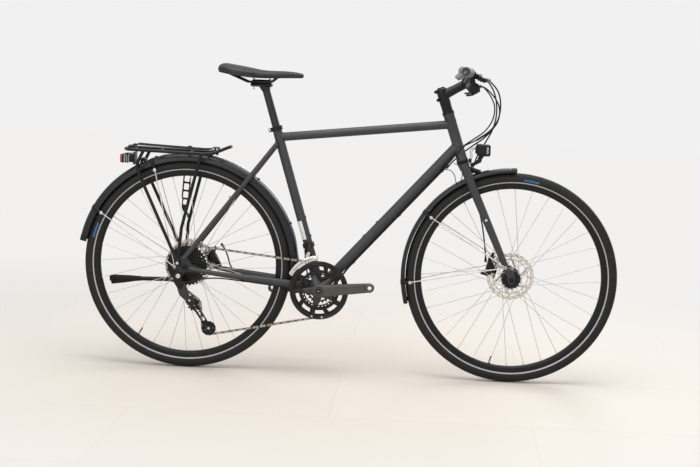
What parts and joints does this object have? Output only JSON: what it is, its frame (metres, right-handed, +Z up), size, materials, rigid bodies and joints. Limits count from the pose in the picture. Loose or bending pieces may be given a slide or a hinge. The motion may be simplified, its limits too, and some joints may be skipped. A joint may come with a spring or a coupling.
{
  "type": "touring bicycle",
  "caption": "Diamond-frame touring bicycle with mudguards, rear rack, lights, disc brakes, derailleur gears and a side stand.",
  "frame": {"origin": "on the ground plane, under the middle of the bicycle's overall length, in the wheels' plane", "axes": "+X forward, +Y to the rider's left, +Z up"},
  "size_m": [1.8048, 0.6236, 1.0453],
  "materials": {
    "frame_paint": "matte anthracite paint",
    "black_alloy": "black anodised",
    "crank_alloy": "satin dark grey",
    "bright_steel": "brushed",
    "chain_steel": "oiled",
    "rail_steel": "black",
    "tyre_rubber": "moulded",
    "soft_rubber": "matte",
    "cable_cover": "smooth",
    "guard_plastic": "satin",
    "black_plastic": "matte",
    "red_lens": "clear red",
    "saddle_cover": "satin textured cover"
  },
  "bodies": {
    "frame": {"main_frame": "frame_paint", "rear_triangle": "frame_paint", "headset_upper_cup": "black_alloy", "headset_lower_cup": "black_alloy", "seat_collar": "black_alloy", "bottom_bracket": "black_alloy", "front_derailleur_clamp": "black_alloy", "rear_mudguard": "guard_plastic", "rear_mudguard_stays": "bright_steel", "rear_rack": "black_alloy", "tail_light": "red_lens", "luggage_strap": "soft_rubber", "rear_caliper": "black_alloy", "derailleur_mount": "black_alloy", "rear_axle": "bright_steel", "chain": "chain_steel", "rear_brake_hose": "cable_cover", "rear_shift_cable": "cable_cover", "front_shift_cable": "cable_cover", "kickstand_bracket": "black_alloy"},
    "seatpost": {"seatpost": "black_alloy", "saddle_rails": "rail_steel", "saddle": "saddle_cover"},
    "steering": {"fork": "frame_paint", "stem": "black_alloy", "handlebar": "black_alloy", "grip_left": "soft_rubber", "grip_right": "soft_rubber", "brake_body_left": "black_alloy", "brake_body_right": "black_alloy", "shifter_left": "black_plastic", "shifter_right": "black_plastic", "headlight": "black_plastic", "front_mudguard": "guard_plastic", "front_mudguard_stays": "bright_steel", "front_caliper": "black_alloy", "front_brake_hose": "cable_cover", "front_axle": "bright_steel"},
    "brake_lever_left": {"brake_lever_left": "black_alloy"},
    "brake_lever_right": {"brake_lever_right": "black_alloy"},
    "shift_lever_left": {"shift_lever_left": "black_alloy"},
    "shift_lever_right": {"shift_lever_right": "black_alloy"},
    "front_wheel": {"front_tyre": "tyre_rubber", "front_wheel": "black_alloy", "front_rotor": "bright_steel"},
    "rear_wheel": {"rear_tyre": "tyre_rubber", "rear_wheel": "black_alloy", "rear_rotor": "bright_steel"},
    "cassette": {"cassette": "chain_steel"},
    "cranks": {"crank_right": "crank_alloy", "chainrings": "black_alloy", "crank_left": "crank_alloy"},
    "derailleur_link": {"derailleur_link": "black_alloy"},
    "derailleur_knuckle": {"derailleur_knuckle": "black_alloy"},
    "derailleur_cage": {"derailleur_cage": "black_alloy"},
    "guide_pulley": {"guide_pulley": "black_plastic"},
    "tension_pulley": {"tension_pulley": "black_plastic"},
    "front_derailleur_link": {"front_derailleur_link": "black_alloy"},
    "front_derailleur_cage": {"front_derailleur_cage": "bright_steel"},
    "kickstand": {"kickstand_leg": "black_alloy"}
  },
  "joints": [
    {"name": "steering", "type": "hinge", "parent": "frame", "child": "steering", "pos_m": [0.37336, 0, 0.736], "axis": [-0.3256, 0, 0.9455], "range_deg": [-70, 70], "deforming": ["rear_brake_hose", "rear_shift_cable", "front_shift_cable"]},
    {"name": "front_wheel_spin", "type": "hinge", "parent": "steering", "child": "front_wheel", "pos_m": [0.55136, 0, 0.351], "axis": [0, 1, 0], "continuous": true},
    {"name": "rear_wheel_spin", "type": "hinge", "parent": "frame", "child": "rear_wheel", "pos_m": [-0.53364, 0, 0.351], "axis": [0, 1, 0], "continuous": true},
    {"name": "crank_spin", "type": "hinge", "parent": "frame", "child": "cranks", "pos_m": [-0.08364, 0, 0.2895], "axis": [0, 1, 0], "continuous": true, "deforming": ["chain"]},
    {"name": "cassette_spin", "type": "hinge", "parent": "frame", "child": "cassette", "pos_m": [-0.53364, 0, 0.351], "axis": [0, 1, 0], "continuous": true},
    {"name": "derailleur_shift", "type": "hinge", "parent": "frame", "child": "derailleur_link", "pos_m": [-0.54664, -0.066, 0.287], "axis": [-0.8944, 0, -0.4472], "range_deg": [0, 39], "stiffness_Nm_per_rad": 3, "deforming": ["chain", "rear_shift_cable"]},
    {"name": "derailleur_level", "type": "hinge", "parent": "derailleur_link", "child": "derailleur_knuckle", "pos_m": [-0.52464, -0.051, 0.243], "axis": [-0.8944, 0, -0.4472], "range_deg": [-39, 0]},
    {"name": "derailleur_cage_swing", "type": "hinge", "parent": "derailleur_knuckle", "child": "derailleur_cage", "pos_m": [-0.51894, -0.027, 0.234], "axis": [0, 1, 0], "range_deg": [-8, 60], "stiffness_Nm_per_rad": 4, "deforming": ["chain"]},
    {"name": "guide_pulley_spin", "type": "hinge", "parent": "derailleur_cage", "child": "guide_pulley", "pos_m": [-0.50564, -0.027, 0.218], "axis": [0, 1, 0], "continuous": true},
    {"name": "tension_pulley_spin", "type": "hinge", "parent": "derailleur_cage", "child": "tension_pulley", "pos_m": [-0.45364, -0.027, 0.14], "axis": [0, 1, 0], "continuous": true},
    {"name": "front_derailleur_shift", "type": "hinge", "parent": "frame", "child": "front_derailleur_link", "pos_m": [-0.12164, -0.027, 0.441], "axis": [1, 0, 0], "range_deg": [0, 27], "stiffness_Nm_per_rad": 3, "deforming": ["chain", "front_shift_cable"]},
    {"name": "front_derailleur_level", "type": "hinge", "parent": "front_derailleur_link", "child": "front_derailleur_cage", "pos_m": [-0.12164, -0.045, 0.417], "axis": [1, 0, 0], "range_deg": [-27, 0]},
    {"name": "brake_lever_left_pull", "type": "hinge", "parent": "steering", "child": "brake_lever_left", "pos_m": [0.42786, 0.15, 1.003], "axis": [0, 0, 1], "range_deg": [0, 20], "stiffness_Nm_per_rad": 2},
    {"name": "brake_lever_right_pull", "type": "hinge", "parent": "steering", "child": "brake_lever_right", "pos_m": [0.42786, -0.15, 1.003], "axis": [0, 0, -1], "range_deg": [0, 20], "stiffness_Nm_per_rad": 2},
    {"name": "shift_lever_left_push", "type": "hinge", "parent": "steering", "child": "shift_lever_left", "pos_m": [0.39736, 0.147, 0.958], "axis": [0, 0, -1], "range_deg": [0, 25], "stiffness_Nm_per_rad": 0.5},
    {"name": "shift_lever_right_push", "type": "hinge", "parent": "steering", "child": "shift_lever_right", "pos_m": [0.39736, -0.147, 0.958], "axis": [0, 0, 1], "range_deg": [0, 25], "stiffness_Nm_per_rad": 0.5},
    {"name": "kickstand_fold", "type": "hinge", "parent": "frame", "child": "kickstand", "pos_m": [-0.54364, 0.084, 0.284], "axis": [0, 0.9732, 0.23], "range_deg": [-97, 0]},
    {"name": "seatpost_height", "type": "slide", "parent": "frame", "child": "seatpost", "axis": [-0.294, 0, 0.9558], "range_m": [-0.1, 0.06]}
  ],
  "couplings": [
    {"joint": "cassette_spin", "follows": "crank_spin", "ratio": 1.2941},
    {"joint": "guide_pulley_spin", "follows": "crank_spin", "ratio": -4},
    {"joint": "tension_pulley_spin", "follows": "crank_spin", "ratio": 4},
    {"joint": "derailleur_level", "follows": "derailleur_shift", "ratio": -1},
    {"joint": "front_derailleur_level", "follows": "front_derailleur_shift", "ratio": -1}
  ]
}
